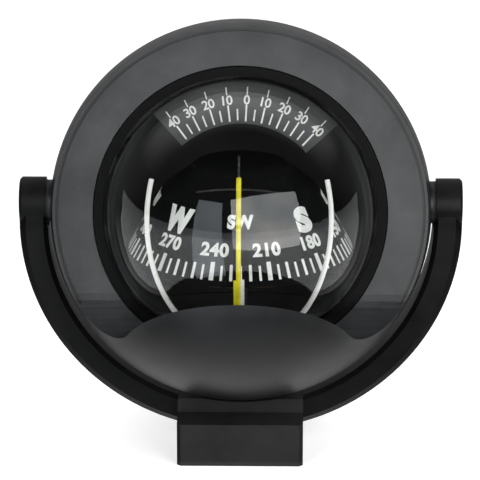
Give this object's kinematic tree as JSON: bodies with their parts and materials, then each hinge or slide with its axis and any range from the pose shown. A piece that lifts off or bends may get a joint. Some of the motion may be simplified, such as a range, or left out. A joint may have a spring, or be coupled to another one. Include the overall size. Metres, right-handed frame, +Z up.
{
  "type": "marine ball compass",
  "caption": "Liquid-filled marine compass in a ball housing that tilts in a U-shaped bracket on a block foot.",
  "frame": {"origin": "middle of the foot's underside, where it rests on the dashboard", "axes": "+Z up, -Y to the front where the dial is read, +X to the right and along the tilt axis"},
  "size_m": [0.1466, 0.1254, 0.1458],
  "materials": {
    "foot_plastic": "moulded black plastic, fine grain",
    "pad_rubber": "matt rubber",
    "stainless": "satin",
    "bracket_plastic": "satin black plastic",
    "washer_rubber": "matt",
    "brass": "turned",
    "housing_plastic": "satin charcoal plastic, fine grain",
    "gasket_rubber": "smooth black rubber",
    "clear_dome": "polished clear",
    "bowl_plastic": "satin dark grey",
    "yellow_paint": "gloss yellow",
    "white_paint": "gloss white",
    "scale_plastic": "matt grey with white marks",
    "card_plastic": "matt black with white marks",
    "float_plastic": "closed foam",
    "magnet_metal": "ground",
    "jewel": "polished"
  },
  "bodies": {
    "bracket": {"foot": "foot_plastic", "foot_pad": "pad_rubber", "bracket_screws": "stainless", "yoke": "bracket_plastic", "left_pivot_cap": "bracket_plastic", "right_pivot_cap": "bracket_plastic"},
    "housing": {"front_bezel": "housing_plastic", "rear_shell": "housing_plastic", "housing_screws": "stainless", "dome_gasket": "gasket_rubber", "dome": "clear_dome", "capsule_bowl": "bowl_plastic", "capsule_seal": "gasket_rubber", "diaphragm": "gasket_rubber", "diaphragm_cover": "bowl_plastic", "diaphragm_screws": "stainless", "fill_plug": "brass", "compensator_block": "bowl_plastic", "left_friction_washer": "washer_rubber", "right_friction_washer": "washer_rubber", "left_pivot_screw": "stainless", "right_pivot_screw": "stainless", "left_thread_insert": "brass", "right_thread_insert": "brass", "lubber_base": "bowl_plastic", "main_lubber_line": "yellow_paint", "lubber_tip": "stainless", "left_lubber_line": "white_paint", "right_lubber_line": "white_paint", "clinometer_scale": "scale_plastic", "gimbal_stand": "bowl_plastic"},
    "pitch_ring": {"gimbal_ring": "brass", "pitch_pins": "stainless", "roll_pins": "stainless"},
    "pendulum": {"card_carrier": "brass", "pendulum_weight": "brass"},
    "card": {"compass_card": "card_plastic", "card_float": "float_plastic", "card_magnets": "magnet_metal", "card_jewel": "jewel"},
    "ns_compensator": {"compensator_ns": "brass"},
    "ew_compensator": {"compensator_ew": "brass"}
  },
  "joints": [
    {"name": "housing_tilt", "type": "hinge", "parent": "bracket", "child": "housing", "pos_m": [0, 0, 0.0853], "axis": [1, 0, 0], "range_deg": [-48, 72]},
    {"name": "gimbal_pitch", "type": "hinge", "parent": "housing", "child": "pitch_ring", "pos_m": [0, -0.00783, 0.08416], "axis": [1, 0, 0], "range_deg": [-37, 13]},
    {"name": "gimbal_roll", "type": "hinge", "parent": "pitch_ring", "child": "pendulum", "pos_m": [0, -0.00783, 0.08416], "axis": [0, 1, 0], "range_deg": [-30, 30]},
    {"name": "card_heading", "type": "hinge", "parent": "pendulum", "child": "card", "pos_m": [0, -0.00783, 0.08416], "axis": [0, 0, 1], "continuous": true},
    {"name": "ns_adjust", "type": "hinge", "parent": "housing", "child": "ns_compensator", "pos_m": [0, 0.00952, 0.02629], "axis": [0, 0.9781, -0.2079], "continuous": true},
    {"name": "ew_adjust", "type": "hinge", "parent": "housing", "child": "ew_compensator", "pos_m": [-0.01, -0.00809, 0.03003], "axis": [1, 0, 0], "continuous": true}
  ]
}
